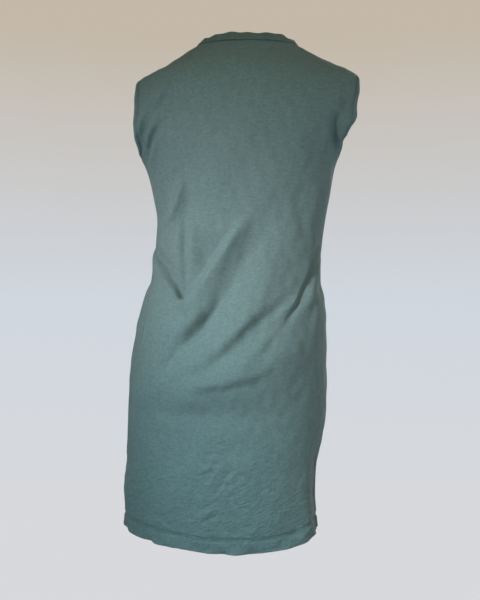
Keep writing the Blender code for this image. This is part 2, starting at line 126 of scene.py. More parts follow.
# Rings, in millimetres. Left and right are the reach of each panel in x, and depth is how far
# it stands from the shoulder line in y. Lean is the drop of a ring for each metre towards +X.
SECTION_COLUMNS = ("height", "back_left", "back_right", "front_left", "front_right",
                   "back_depth", "front_depth", "lean")
SECTIONS = (
    (12, 85, -85, 85, -85, 52, 54, 0),
    (0, 102, -102, 102, -102, 62, 62, 0),
    (-18, 131, -129, 131, -129, 74, 70, 8),
    (-35, 159, -159, 159, -159, 84, 77, 18),
    (-50, 191, -191, 191, -191, 93, 82, 25),
    (-63, 217, -217, 217, -217, 100, 87, 28),
    (-85, 236, -235, 236, -235, 108, 92, 30),
    (-115, 251, -246, 251, -246, 113, 100, 31),
    (-150, 256, -246, 256, -246, 114, 112, 32),
    (-180, 242, -224, 242, -224, 113, 124, 33),
    (-205, 221, -197, 221, -197, 111, 131, 34),
    (-222, 209, -183, 209, -183, 109, 134, 34),
    (-250, 198, -173, 198, -173, 106, 134, 30),
    (-300, 187, -164, 187, -164, 101, 128, 18),
    (-345, 180, -155, 180, -155, 98, 121, 8),
    (-385, 183, -149, 183, -149, 99, 116, 0),
    (-425, 187, -145, 187, -145, 103, 114, 0),
    (-465, 192, -145, 192, -145, 109, 114, 0),
    (-503, 207, -153, 207, -153, 117, 116, 0),
    (-543, 219, -157, 219, -157, 126, 118, 0),
    (-603, 227, -157, 227, -157, 135, 119, 0),
    (-663, 235, -157, 235, -157, 134, 117, 0),
    (-723, 238, -155, 238, -155, 125, 114, 0),
    (-800, 239, -145, 239, -145, 119, 112, 0),
    (-804, 239, -144, 239, -144, 119, 112, 0),
    (-840, 241, -138, 243, -133, 118, 112, 0),
    (-880, 243, -137, 247, -128, 118, 112, 0),
    (-930, 243, -142, 249, -124, 118, 112, 0),
    (-990, 242, -152, 249, -122, 120, 112, 0),
)

# Where the side edges run below the armholes, in degrees round the ring
EDGE_COLUMNS = ("height", "back_left", "back_right", "front_left", "front_right")
EDGES = (
    (-0.222, 0, 0, 0, 0),
    (-0.345, 5, 5, 5, 5),
    (-0.425, 14, 10, 14, 10),
    (-0.480, 20, 17, 20, 17),
    (-0.536, 30, 29, 30, 29),
    (-0.580, 28, 33, 28, 33),
    (-0.640, 20, 32, 20, 32),
    (-0.723, 9, 26, 9, 26),
    (-0.800, 2, 13, 2, 13),
    (-0.804, 1.9, 12.7, 1.9, 12.7),
    (-0.840, 0, 9, -3, 2),
    (-0.880, -3, 9, -8, -6),
    (-0.930, -5, 10, -10, -9),
    (-0.990, -6, 11, -10, -9),
)

# Lower edge of the back, from the right slit (-1) to the left slit (1)
BACK_HEM_COLUMNS = ("across", "height")
BACK_HEM = (
    (-1.00, -0.948),
    (-0.80, -0.957),
    (-0.55, -0.971),
    (-0.20, -0.978),
    (0.00, -0.975),
    (0.12, -0.969),
    (0.30, -0.964),
    (0.55, -0.958),
    (0.80, -0.945),
    (1.00, -0.941),
)

# Folds and creases of each panel, in millimetres: points (x, z) as seen from behind or in front,
# half width below and above the line, height (a trough is negative), share of it left at the
# start and the end, and how far the crest is pushed over towards the side below
FOLD_COLUMNS = ("points", "width_below", "width_above", "height", "start", "end", "push")
FOLD_SIZES = ("width_below", "width_above", "height", "push")
BACK_FOLDS = (
    (((137, -74), (170, -121), (200, -166), (211, -215)), 10, 14, 10.8, 0.1, 0.3, 1.5),
    (((160, -112), (184, -141), (199, -176), (205, -208)), 12, 8, -10.2, 0.1, 0.3, 0),
    (((151, -139), (178, -170), (189, -188), (194, -202)), 8, 11, 7.8, 0.1, 0.2, 0),
    (((170, -178), (186, -203), (194, -232)), 9, 7, -8, 0.2, 0.2, 0),
    (((172, -183), (182, -214), (190, -250)), 10, 11, 4.5, 0.1, 0.1, 0),
    (((-169, -126), (-183, -128), (-197, -131)), 10, 10, -6.5, 0.1, 0.4, 0),
    (((-192, -140), (-168, -160), (-166, -192), (-172, -222)), 9, 11, -11, 0.3, 0.3, 0),
    (((-202, -156), (-184, -168), (-177, -190), (-180, -212)), 8, 8, 7.2, 0.3, 0.2, 0),
    (((-200, -172), (-188, -184), (-187, -208)), 7, 7, -5, 0.3, 0.1, 0),
    (((-146, -150), (-150, -200), (-148, -250)), 14, 14, 4, 0.1, 0.1, 0),
    (((125, -261), (131, -302), (146, -341), (166, -376)), 7, 16, 6.5, 0.1, 0.2, 0),
    (((110, -275), (117, -322), (132, -358), (149, -387)), 14, 8, -4.5, 0.1, 0.1, 0),
    (((127, -326), (123, -400), (122, -475)), 9, 6, -6, 0.1, 0.5, 0),
    (((108, -344), (106, -400), (108, -447)), 10, 7, 3.5, 0.1, 0.2, 0),
    (((-97, -270), (-104, -344), (-110, -410)), 16, 14, -2.2, 0.1, 0.1, 0),
    (((-127, -270), (-130, -335), (-127, -391)), 14, 14, 1.5, 0.1, 0.1, 0),
    (((190, -404), (172, -436), (154, -466), (131, -502)), 22, 5, 8, 0.35, 0.7, 1),
    (((181, -404), (164, -432), (146, -462), (124, -497)), 5, 16, -8.5, 0.5, 1, 0),
    (((130, -499), (90, -450), (62, -408), (34, -366)), 8, 30, -9, 1, 0.1, 0),
    (((124, -510), (79, -461), (51, -418), (23, -376), (-2, -330)), 17, 8, 9.5, 0.9, 0.1, 0),
    (((-41, -303), (-30, -350), (-11, -397), (15, -445), (51, -503), (80, -546), (103, -570),
      (127, -594), (153, -622)), 22, 22, -8.5, 0.1, 0.2, 0),
    (((30, -470), (56, -510), (80, -544), (103, -572), (129, -594), (152, -628)),
     7, 13, -9.5, 0.1, 0.4, 0),
    (((72, -496), (96, -530), (121, -557), (150, -578)), 10, 20, 4, 0.2, 0.2, 0),
    (((-63, -387), (-41, -451), (-7, -514), (34, -563), (79, -596)), 22, 22, 4, 0.1, 0.1, 0),
    (((-91, -477), (-59, -518), (-28, -542), (-2, -568), (30, -598), (77, -632), (120, -650)),
     24, 13, -7.5, 0.3, 0.5, 0),
    (((-46, -503), (-15, -525), (11, -551), (43, -579), (86, -609)), 10, 12, 3, 0.2, 0.1, 1),
    (((-106, -492), (-80, -510), (-54, -535), (-26, -559)), 7, 7, 3, 0.3, 0.1, 0),
    (((-54, -566), (-11, -600), (30, -626), (80, -650)), 18, 18, 3.5, 0.1, 0.1, 0),
    (((-63, -561), (-37, -593), (-7, -622)), 13, 10, -3.5, 0.2, 0.1, 0),
    (((-132, -399), (-119, -428), (-108, -458), (-91, -496), (-72, -529), (-56, -557)),
     4, 22, 2.5, 0.6, 0.1, 2),
    (((-138, -402), (-125, -432), (-114, -461), (-97, -499), (-79, -533), (-59, -561)),
     7, 4, -5.5, 0.9, 0.1, 0),
    (((-143, -424), (-134, -452), (-124, -480), (-108, -514), (-90, -546)), 14, 9, 5, 0.3, 0.1, 0),
    (((-136, -481), (-132, -531), (-128, -587)), 10, 12, 3.5, 0.2, 0.1, 0),
    (((131, -682), (71, -676), (11, -665), (-37, -647), (-69, -628)), 30, 10, -3.5, 0.1, 0.2, 0),
    (((118, -663), (67, -658), (11, -645), (-33, -628)), 10, 16, 2.5, 0.1, 0.1, 0),
    (((202, -663), (127, -652), (34, -641), (-50, -619), (-108, -596)), 44, 60, 11, 0.3, 0.2, 0),
    (((183, -704), (108, -719), (25, -719), (-50, -704)), 22, 20, -3, 0.1, 0.1, 0),
    (((80, -865), (64, -835), (41, -805)), 3.5, 4, 1.8, 0.2, 0.2, 0),
    (((66, -874), (49, -844), (28, -816)), 4, 4, -1.8, 0.2, 0.2, 0),
    (((54, -870), (36, -839), (19, -820)), 3.5, 4, 1.6, 0.2, 0.2, 0),
    (((84, -898), (66, -885), (36, -882)), 4, 4, -1.6, 0.2, 0.2, 0),
    (((97, -930), (77, -915), (52, -904), (30, -900)), 5, 4, -2.2, 0.2, 0.2, 0),
    (((108, -921), (84, -902), (60, -893)), 4, 4, 1.8, 0.2, 0.2, 0),
    (((60, -908), (38, -898), (15, -897)), 4, 4, 1.6, 0.2, 0.2, 0),
    (((97, -826), (77, -816), (60, -801)), 4, 4, 1.4, 0.2, 0.2, 0),
    (((233, -870), (205, -874), (179, -883)), 4, 5, -1.3, 0.2, 0.2, 0),
    (((164, -911), (146, -924), (122, -926)), 5, 4, -2, 0.2, 0.2, 0),
    (((205, -924), (179, -917), (149, -926)), 4, 4, 1.6, 0.2, 0.2, 0),
    (((45, -16), (20, -24), (-8, -20)), 4, 4, -1.2, 0.2, 0.2, 0),
    (((12, -10), (-18, -19), (-45, -14)), 4, 4, -1.1, 0.2, 0.2, 0),
    (((-24, -30), (-45, -27), (-62, -19)), 4, 5, 1.2, 0.2, 0.2, 0),
)
FRONT_FOLDS = (
    (((150, -250), (110, -330), (60, -400), (10, -450)), 18, 12, -7, 0.1, 0.1, 0),
    (((-130, -260), (-105, -330), (-80, -395)), 16, 12, -6, 0.1, 0.1, 0),
    (((-140, -430), (-90, -480), (-30, -520), (40, -545)), 18, 10, -7.5, 0.2, 0.1, 0),
    (((-140, -410), (-88, -460), (-28, -500), (30, -522)), 9, 14, 4.5, 0.2, 0.1, 1),
    (((195, -480), (150, -520), (95, -545)), 14, 10, -6.5, 0.2, 0.1, 0),
    (((-150, -520), (-80, -575), (10, -600)), 20, 12, -5.5, 0.2, 0.1, 0),
    (((180, -170), (165, -215), (135, -250)), 12, 9, -6, 0.2, 0.1, 0),
    (((-168, -165), (-150, -210), (-125, -240)), 12, 9, -6, 0.2, 0.1, 0),
    (((196, -190), (180, -235), (150, -275)), 10, 10, 4.5, 0.1, 0.1, 0),
    (((-182, -185), (-166, -228), (-140, -262)), 10, 10, 4.5, 0.1, 0.1, 0),
    (((60, -300), (30, -380), (-20, -450)), 16, 12, -4.5, 0.1, 0.1, 0),
    (((120, -590), (40, -640), (-60, -650)), 22, 12, -4, 0.1, 0.1, 0),
    (((-60, -120), (-30, -175), (10, -215)), 14, 14, -2.5, 0.1, 0.1, 0),
    (((85, -105), (60, -170), (20, -225)), 14, 14, -2.5, 0.1, 0.1, 0),
)

# Wide troughs or ridges where the skirt hangs free: place round the ring in degrees,
# half width in degrees and height at the hem
HANG_COLUMNS = ("place", "width", "height")
HANGS = (
    (16, 11, 0.004),
    (42, 13, -0.004),
    (66, 14, 0.003),
    (146, 10, 0.005),
    (163, 8, -0.005),
    (205, 13, 0.004),
    (233, 14, -0.006),
    (262, 13, 0.005),
    (292, 14, -0.006),
    (322, 13, 0.006),
)
HANG_POWER = 1.5
HANG_LIMIT = 1.2

# Small irregularities: size and seed of the waves of each kind, and their height
WAVE_COUNT = 16
WAVE_SPREAD = (0.6, 1.5)
SOFT_WAVES = (0.110, 3)
SOFT_HEIGHT = 0.0008
RIPPLE_WAVES = (0.034, 5)
RIPPLE_HEIGHT = 0.00045
CRUMPLE_WAVES = (0.013, 8)
CRUMPLE_HEIGHT = 0.0008
HEM_LUMP_WAVES = (0.036, 11)
HEM_LUMP_HEIGHT = 0.0022
HEM_LUMP_REACH = 0.020
# Crumples: stretch, place and reach across, share left outside it, level and sharpness
CRUMPLE_STRETCH = (0.50, 0.60, 1.15)
CRUMPLE_MIDDLE = 0.070
CRUMPLE_REACH = 0.120
CRUMPLE_ASIDE = 0.3
CRUMPLE_TOP = -0.700
CRUMPLE_FADE = 0.120
CRUMPLE_MEAN = 0.8
CRUMPLE_SOFTNESS = 0.05
# How far from the neck and side edges the cloth lies calm
NECK_CALM = 0.030
SIDE_CALM = 0.020
# Fine wrinkles of the surface near the hem: size along and across, slant, depth and levels
WRINKLE_SPREAD = (2.2, 2.2, 0.9)
WRINKLE_SLANT = 0.45
WRINKLE_SCALE = 90.0
WRINKLE_SHARPNESS = 9.0
WRINKLE_DEPTH = 0.0007
WRINKLE_LEVELS = (-0.70, -0.88)

# Colours, linear
JERSEY_LIGHT = (0.158, 0.240, 0.241, 1.0)
JERSEY_DARK = (0.098, 0.156, 0.158, 1.0)
BAND_LIGHT = (0.142, 0.214, 0.206, 1.0)
BAND_DARK = (0.084, 0.136, 0.132, 1.0)
# Sewing thread: real thread, painted darker than the cloth as painted shade of its groove
THREAD_COLOUR_WITH_PAINTED_SHADE = (0.050, 0.090, 0.088, 1.0)
# Stage and sky: each colour at its share of the way between two levels
STAGE_LEVELS = (-1.65, 1.35)
# The stage's colours are painted light: cool light below, dimmer and warmer light above
STAGE_PAINTED_LIGHT = ((0.0, (0.75, 0.76, 0.80, 1.0)), (0.38, (0.683, 0.725, 0.795, 1.0)),
                 (0.92, (0.60, 0.52, 0.43, 1.0)))
# Share of these painted light colours kept in the stage's matt paint
STAGE_PAINT = 0.35
# Strength of the stage's painted glow
STAGE_PAINTED_GLOW = 0.86
SKY_LEVELS = (-0.8, 0.8)
SKY_COLOURS = ((0.0, (0.60, 0.86, 1.0, 1.0)), (1.0, (0.36, 0.34, 0.15, 1.0)))
SKY_STRENGTH = 0.34

# Knit: width of a wale, height of a course beside it, and noise of the nap, mottle and streaks
WALE = 0.0011
COURSE_SHARE = 0.8
NAP_SCALE = 620.0
MOTTLE_SCALE = 150.0
STREAK_SCALE = (45.0, 330.0, 1.0)
NAP_SHARE = 0.30
MOTTLE_SHARE = 0.40
STREAK_SHARE = 0.30
RAMP_ENDS = (0.36, 0.64)
LOOP_RELIEF = 0.35
SHADE_RELIEF = 2.0
KNIT_STRENGTH = 0.45
KNIT_DEPTH = 0.0005
ROUGHNESS = 0.80
ROUGHNESS_SPREAD = 0.12
SHEEN = 0.12
SHEEN_ROUGHNESS = 0.45
SPECULAR = 0.25
TWIST_SCALE = 2500.0
TWIST_DEPTH = 0.0001
THREAD_ROUGHNESS = 0.6

# Camera and stage
CAMERA_PLACE = (0.0152, 1.700, -0.503)
CAMERA_LENS = 51.0
FLOOR_LEVEL = -1.65
FLOOR_RADIUS = 2.4
WALL_CURVE = 1.2
WALL_TOP = 2.6
WALL_STEPS = 12
STAGE_STEPS = 96
# Lamps: name, place, aim and size in metres, spread in degrees, power in watts and colour
LIGHTS = (
    ("key", (1.50, 1.58, 0.46), (0.0, 0.10, -0.46), 0.36, 18.0, 0.74, (0.97, 0.96, 1.0)),
    ("low_key", (1.04, 1.58, 0.48), (0.0, 0.10, -0.94), 0.36, 17.0, 0.48, (0.60, 0.89, 1.0)),
    ("top_key", (1.30, 1.66, 0.96), (0.0, 0.10, -0.12), 0.36, 16.0, 0.10, (1.0, 0.98, 0.70)),
    ("level_fill", (0.00, 2.00, -0.40), (0.0, 0.10, -0.60), 0.70, 40.0, 0.25, (0.95, 0.98, 1.0)),
    ("side_fill", (-1.70, 1.20, -0.20), (-0.10, 0.0, -0.45), 0.90, 60.0, 1.15, (1.0, 0.93, 0.84)),
    ("front_key", (-1.10, -2.10, 0.60), (0.0, -0.10, -0.45), 0.80, 60.0, 3.0, (0.95, 0.98, 1.0)),
)


def named_column(table, columns, name):
    """One column of a table, ordered by its first column."""
    rows = sorted(table)
    index = columns.index(name)
    return np.array([row[index] for row in rows], dtype=float)


def knot_slopes(places, values):
    """Slopes at the knots that keep a curve smooth and free of overshoot."""
    steps = np.diff(places)
    rises = np.diff(values) / steps
    slopes = np.zeros(len(values))
    slopes[0] = rises[0]
    slopes[-1] = rises[-1]
    for i in range(1, len(values) - 1):
        if rises[i - 1] * rises[i] > 0.0:
            before = 2.0 * steps[i] + steps[i - 1]
            after = steps[i] + 2.0 * steps[i - 1]
            slopes[i] = (before + after) / (before / rises[i - 1] + after / rises[i])
    return slopes


def smooth_curve(places, values):
    """A function that runs smoothly through the values at the given places."""
    slopes = knot_slopes(places, values)

    def curve(position):
        position = np.clip(position, places[0], places[-1])
        i = np.clip(np.searchsorted(places, position) - 1, 0, len(places) - 2)
        step = places[i + 1] - places[i]
        t = (position - places[i]) / step
        blend = t * t * (3.0 - 2.0 * t)
        leave = t * (1.0 - t) ** 2 * step
        arrive = -t * t * (1.0 - t) * step
        return (values[i] + (values[i + 1] - values[i]) * blend
                + slopes[i] * leave + slopes[i + 1] * arrive)

    return curve


def table_curves(table, columns, scale=1.0):
    """A smooth curve for each column of a table, over its first column."""
    places = named_column(table, columns, columns[0]) / scale
    return {name: smooth_curve(places, named_column(table, columns, name) / scale) for name in columns[1:]}


SECTION = table_curves(SECTIONS, SECTION_COLUMNS, MM_IN_METRE)
EDGE = table_curves(EDGES, EDGE_COLUMNS)
BACK_HEM_LINE = table_curves(BACK_HEM, BACK_HEM_COLUMNS)["height"]


def across_share(angle):
    """Share of the half width that a ring reaches at an angle."""
    return np.cos(angle) * (1.0 + ROUNDING * np.sin(angle) ** 2)


def angle_at_share(share):
    """Ring angle at which a ring reaches a share of its half width."""
    share = np.clip(share, 0.0, 1.0)
    return np.arccos(share / (1.0 + ROUNDING * (1.0 - share * share)))


def ring_frame(panel, height):
    """Centre and half width of a panel's ring at a height."""
    left = SECTION[panel + "_left"](height)
    right = SECTION[panel + "_right"](height)
    return (left + right) / 2.0, (left - right) / 2.0


def armhole_angle(panel, height):
    """Angle round the ring, in radians, from the side to a panel's armhole edge."""
    middle = (SHOULDER_TIP + UNDERARM) / 2.0
    place = np.clip((height - middle) / (SHOULDER_TIP - middle), -1.0, 1.0)
    power = np.where(place > 0.0, ARMHOLE_TOP_POWER, ARMHOLE_FOOT_POWER)
    inset = ARMHOLE_INSET[panel] * (1.0 - place * place) ** power
    half = ring_frame(panel, height)[1]
    return angle_at_share((half - inset) / half)


def form(panel, angle, height):
    """A point on the smooth form, without folds. Angle 0 is the left side, 90 degrees the back."""
    centre, half = ring_frame(panel, height)
    depth = np.where(np.sin(angle) >= 0.0, SECTION["back_depth"](height), SECTION["front_depth"](height))
    x = centre + half * across_share(angle)
    y = depth * np.sin(angle) * (1.0 + ROUNDING * np.cos(angle) ** 2)
    z = height - SECTION["lean"](height) * x
    return np.stack(np.broadcast_arrays(x, y, z), axis=-1)


def unit(vectors):
    """Vectors scaled to length one."""
    return vectors / np.maximum(np.linalg.norm(vectors, axis=-1, keepdims=True), TINY)


def outward(surface, panel, angle, height):
    """Outward direction of a surface function at a place on it."""
    round_ring = surface(panel, angle + PROBE_ANGLE, height) - surface(panel, angle - PROBE_ANGLE, height)
    up_form = surface(panel, angle, height + PROBE_HEIGHT) - surface(panel, angle, height - PROBE_HEIGHT)
    return unit(np.cross(round_ring, up_form))


def fold_place(panel, x, z):
    """Angle and height on the form of a point seen from behind or in front."""
    height = z + SECTION["lean"](z) * x
    centre, half = ring_frame(panel, height)
    share = (x - centre) / half
    turn = angle_at_share(np.abs(share))
    angle = np.where(share >= 0.0, turn, np.pi - turn)
    return (angle if panel == "back" else -angle), height


def run_through(points, samples):
    """Evenly numbered samples of a smooth curve through a few points."""
    knots = np.arange(len(points), dtype=float)
    at = np.linspace(0.0, len(points) - 1.0, samples)
    return np.stack([smooth_curve(knots, points[:, k])(at) for k in range(points.shape[1])], axis=-1)


def smooth_step(share):
    """0 below 0, 1 above 1 and a smooth rise between them."""
    share = np.clip(share, 0.0, 1.0)
    return share * share * (3.0 - 2.0 * share)


def fold_track(panel, knots):
    """Samples of a fold's line on the form, with their directions along it and below it."""
    places = [fold_place(panel, x / MM_IN_METRE, z / MM_IN_METRE) for x, z in knots]
    places = np.array(places, dtype=float)
    rough = form(panel, places[:, 0], places[:, 1])
    length = np.linalg.norm(np.diff(rough, axis=0), axis=1).sum()
    track = run_through(places, int(length / LINE_SPACING) + LEAST_SAMPLES)
    points = form(panel, track[:, 0], track[:, 1])
    normals = outward(form, panel, track[:, 0], track[:, 1])
    along = unit(np.gradient(points, axis=0))
    below = unit(np.cross(along, normals))
    if (below @ np.array(BELOW_HINT)).sum() < 0.0:
        below = -below
    return points, along, below


def fold_lines():
    """Each fold with its sizes in metres, its samples and their directions."""
    lines = []
    for panel, rows in (("back", BACK_FOLDS), ("front", FRONT_FOLDS)):
        for row in rows:
            fold = dict(zip(FOLD_COLUMNS, row))
            fold.update({name: fold[name] / MM_IN_METRE for name in FOLD_SIZES})
            lines.append((fold, *fold_track(panel, fold["points"])))
    return lines


def fold_lift(points, normals):
    """How far the folds move each point. Both panels follow a fold that crosses their seam."""
    flat = points.reshape(-1, 3)
    out = normals.reshape(-1, 3)
    moved = np.zeros(flat.shape)
    for fold, line, along, below in fold_lines():
        reach = FOLD_REACH * max(fold["width_below"], fold["width_above"])
        near = np.all((flat > line.min(axis=0) - reach) & (flat < line.max(axis=0) + reach), axis=1)
        rows = np.flatnonzero(near)
        if not len(rows):
            continue
        offset = flat[rows][:, None, :] - line[None, :, :]
        square = np.einsum("ijk,ijk->ij", offset, offset)
        nearest = square.argmin(axis=1)
        step = np.linalg.norm(np.diff(line, axis=0), axis=1).mean()
        offset = offset[np.arange(len(rows)), nearest]
        run = np.einsum("ij,ij->i", offset, along[nearest])
        least = np.where(nearest == 0, 0.0, -step)
        most = np.where(nearest == len(line) - 1, 0.0, step)
        slide = np.clip(run, least, most)
        offset = offset - along[nearest] * slide[:, None]
        side = np.einsum("ij,ij->i", offset, below[nearest])
        distance = np.linalg.norm(offset, axis=1)
        share = (nearest + slide / step) / (len(line) - 1.0)
        rise = fold["start"] + (1.0 - fold["start"]) * smooth_step(share / FOLD_FADE)
        fall = fold["end"] + (1.0 - fold["end"]) * smooth_step((1.0 - share) / FOLD_FADE)
        under = smooth_step(0.5 + 0.5 * side / np.maximum(distance, TINY))
        width = fold["width_above"] + (fold["width_below"] - fold["width_above"]) * under
        amount = rise * fall * np.exp(-(distance / width) ** 2)
        moved[rows] += out[rows] * (fold["height"] * amount)[:, None]
        moved[rows] += below[nearest] * (fold["push"] * amount)[:, None]
    return moved.reshape(points.shape)


def hang_height(angle, height):
    """Soft upright waves of the free skirt, growing towards the hem."""
    total = np.zeros(np.broadcast(angle, height).shape)
    share = np.clip((HANG_TOP - height) / (HANG_TOP - FRONT_HEM), 0.0, HANG_LIMIT)
    place = np.degrees(angle)
    for row in HANGS:
        hang = dict(zip(HANG_COLUMNS, row))
        away = (place - hang["place"] + 180.0) % 360.0 - 180.0
        total += hang["height"] * share ** HANG_POWER * np.exp(-(away / hang["width"]) ** 2)
    return total


def waves(points, size, seed):
    """A smooth random field of about unit height with hollows of one size."""
    dice = random.Random(seed)
    total = np.zeros(points.shape[:-1])
    for _ in range(WAVE_COUNT):
        course = np.array([dice.gauss(0.0, 1.0) for _ in range(3)])
        course = course / np.linalg.norm(course) * 2.0 * math.pi / size * dice.uniform(*WAVE_SPREAD)
        total += np.sin(points @ course + dice.uniform(0.0, 2.0 * math.pi))
    return total / math.sqrt(WAVE_COUNT / 2.0)


def edge_angle(panel, side, height):
    """Ring angle of a panel's edge on one side: armhole, seam or slit."""
    seam = np.radians(EDGE[panel + "_" + side](height))
    armhole = armhole_angle(panel, height) * (1.0 if panel == "back" else -1.0)
    turn = np.where(height > UNDERARM, armhole, seam)
    return turn if side == "left" else np.pi - turn


def column_plan():
    """For each column its distance in from the right edge, from the left edge, or its share between."""
    steps = np.array(SIDE_STEPS)
    count = MIDDLE_COLUMNS - 1
    shares = np.linspace(0.0, 1.0, count + 2)[1:-1]
    total = 2 * len(steps) + count
    place = np.zeros(total)
    place[:len(steps)] = steps
    place[len(steps):-len(steps)] = shares
    place[-len(steps):] = steps[::-1]
    kind = np.zeros(total, dtype=int)
    kind[:len(steps)] = -1
    kind[-len(steps):] = 1
    return place, kind


def edge_speed(panel, start, turn, heights):
    """How far the form runs for each radian at an edge."""
    moved = form(panel, start + turn * PROBE_ANGLE, heights) - form(panel, start, heights)
    return np.linalg.norm(moved, axis=-1) / PROBE_ANGLE


def column_angles(panel, heights):
    """Ring angle of each point of a panel, from the edges at the heights given."""
    place, kind = column_plan()
    sign = 1.0 if panel == "back" else -1.0
    left = edge_angle(panel, "left", heights)
    right = edge_angle(panel, "right", heights)
    if panel == "front":
        right = right - 2.0 * np.pi
    left_speed = edge_speed(panel, left, sign, heights)
    right_speed = edge_speed(panel, right, -sign, heights)
    first = right - sign * SIDE_STEPS[-1] / right_speed
    last = left + sign * SIDE_STEPS[-1] / left_speed
    middle = first + (last - first) * place
    angles = np.where(kind == 0, middle, left + sign * place / left_speed)
    return np.where(kind == -1, right - sign * place / right_speed, angles)


def row_heights():
    """Heights of the rows above the slits: body, armholes and shoulders."""
    body = np.linspace(SLIT_TOP, UNDERARM, BODY_ROWS + 1)
    turn = np.linspace(np.pi, 0.0, ARMHOLE_ROWS + 1)[1:]
    middle = (SHOULDER_TIP + UNDERARM) / 2.0
    half = (SHOULDER_TIP - UNDERARM) / 2.0
    armhole = middle + half * np.cos(turn)
    neck = -np.array(NECK_STEPS[::-1])
    shoulder = np.linspace(SHOULDER_TIP, neck[0], SHOULDER_ROWS + 1)[1:-1]
    return np.concatenate([body, armhole, shoulder, neck])


def neck_drop(angle):
    """How far the front neckline has dropped at a ring angle."""
    aside = np.clip(np.cos(angle), 0.0, 1.0) ** FRONT_NECK_ROUND
    return FRONT_NECK_DROP * (1.0 - aside) ** FRONT_NECK_STEEP


def panel_grid(panel):
    """Ring angle and height of each point of a panel, row by row from the hem up."""
    width = len(column_plan()[0])
    level = np.full((1, width), FRONT_HEM)
    flat = column_angles(panel, level)[0]
    across = (2.0 * flat - flat[0] - flat[-1]) / (flat[-1] - flat[0])
    hem = BACK_HEM_LINE(across) if panel == "back" else level[0]
    rows = [hem + step for step in HEM_STEPS]
    start = rows[-1]
    for share in np.linspace(0.0, 1.0, SLIT_ROWS + 1)[1:-1]:
        rows.append(start + (SLIT_TOP - start) * share)
    for height in row_heights():
        rows.append(np.full(width, height))
    heights = np.array(rows)
    if panel == "back":
        return column_angles(panel, heights), heights
    angles = column_angles(panel, np.broadcast_to(heights[:, :1], heights.shape))
    edge_turn = np.clip(np.minimum(-angles, np.pi + angles), 0.0, np.pi / 2.0)
    squeeze = neck_drop(edge_turn) / -NECK_BLEND_LEVEL
    squeezed = NECK_BLEND_LEVEL + (heights - NECK_BLEND_LEVEL) * (1.0 - squeeze)
    return angles, np.where(heights > NECK_BLEND_LEVEL, squeezed, heights)


def grid_normals(grid, toward):
    """Directions square to a panel's grid of points, on the side of the directions given."""
    normals = unit(np.cross(np.gradient(grid, axis=1), np.gradient(grid, axis=0)))
    side = np.sum(normals * toward, axis=-1, keepdims=True)
    return normals * np.where(side < 0.0, -1.0, 1.0)


def run_from(grid, axis, end):
    """Distance along a grid axis from its first (0) or last (-1) line."""
    steps = np.linalg.norm(np.diff(grid, axis=axis), axis=-1)
    zero = np.zeros_like(np.take(steps, [0], axis=axis))
    total = np.concatenate([zero, np.cumsum(steps, axis=axis)], axis=axis)
    return total if end == 0 else np.take(total, [-1], axis=axis) - total


def round_edge(distance):
    """Share of the full thickness that rolled cloth has near its folded edge."""
    near = np.clip(distance / EDGE_ROUND, 0.0, 1.0)
    return np.sqrt(np.clip(1.0 - (1.0 - near) ** 2, 0.0, 1.0))


def groove(distance, lines):
    """How far sewing pulls the cloth in at a distance from an edge."""
    total = np.zeros(np.shape(distance))
    for line in lines:
        total += np.exp(-((distance - line) / GROOVE_WIDTH) ** 2)
    return -GROOVE_DEPTH * np.clip(total, 0.0, 1.0)


def put_in_scene(name, data):
    """A new object of the scene that shows some data."""
    thing = bpy.data.objects.new(name, data)
    bpy.context.scene.collection.objects.link(thing)
    return thing


def smooth_mesh(name, points, faces, material):
    """A smooth mesh of one material."""
    mesh = bpy.data.meshes.new(name)
    mesh.from_pydata(points, [], faces)
    mesh.shade_smooth()
    mesh.materials.append(material)
    return mesh


def make_mesh(name, points, faces, uvs, material):
    """A mesh piece on the root body, with a place on the cloth for each point."""
    mesh = smooth_mesh(name, points.tolist(), faces, material)
    if uvs is not None:
        corners = np.empty(len(mesh.loops), dtype=np.int32)
        mesh.loops.foreach_get("vertex_index", corners)
        layer = mesh.uv_layers.new(name="cloth")
        layer.data.foreach_set("uv", np.ascontiguousarray(uvs[corners], dtype=np.float32).ravel())
    piece = put_in_scene(name, mesh)
    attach(piece, "root")
    return piece


def quad_faces(index, flip):
    """Faces between neighbouring rows and columns of a grid of point numbers."""
    a = index[:-1, :-1].ravel()
    b = index[:-1, 1:].ravel()
    c = index[1:, 1:].ravel()
    d = index[1:, :-1].ravel()
    order = (d, c, b, a) if flip else (a, b, c, d)
    return np.stack(order, axis=-1).tolist()


def rim_faces(outer_line, inner_line, flip):
    """Faces that join a fine edge to one with half as many points."""
    faces = []
    for k in range(len(inner_line) - 1):
        face = [outer_line[2 * k], outer_line[2 * k + 1], outer_line[2 * k + 2],
                inner_line[k + 1], inner_line[k]]
        faces.append([int(v) for v in (face[::-1] if flip else face)])
    return faces


def shell_piece(name, outer, inner, across, up, material):
    """Close a fine outer grid and a coarser inner grid into one thin shell."""
    rows, columns = outer.shape[:2]
    outer_index = np.arange(rows * columns).reshape(rows, columns)
    coarse = inner[::2, ::2]
    inner_index = outer_index.size + np.arange(coarse.shape[0] * coarse.shape[1]).reshape(coarse.shape[:2])
    faces = quad_faces(outer_index, False) + quad_faces(inner_index, True)
    faces += rim_faces(outer_index[0], inner_index[0], True)
    faces += rim_faces(outer_index[-1], inner_index[-1], False)
    faces += rim_faces(outer_index[:, 0], inner_index[:, 0], False)
    faces += rim_faces(outer_index[:, -1], inner_index[:, -1], True)
    points = np.concatenate([outer.reshape(-1, 3), coarse.reshape(-1, 3)])
    fine = np.stack([across, up], axis=-1)
    uvs = np.concatenate([fine.reshape(-1, 2), fine[::2, ::2].reshape(-1, 2)])
    return make_mesh(name, points, faces, uvs, material)


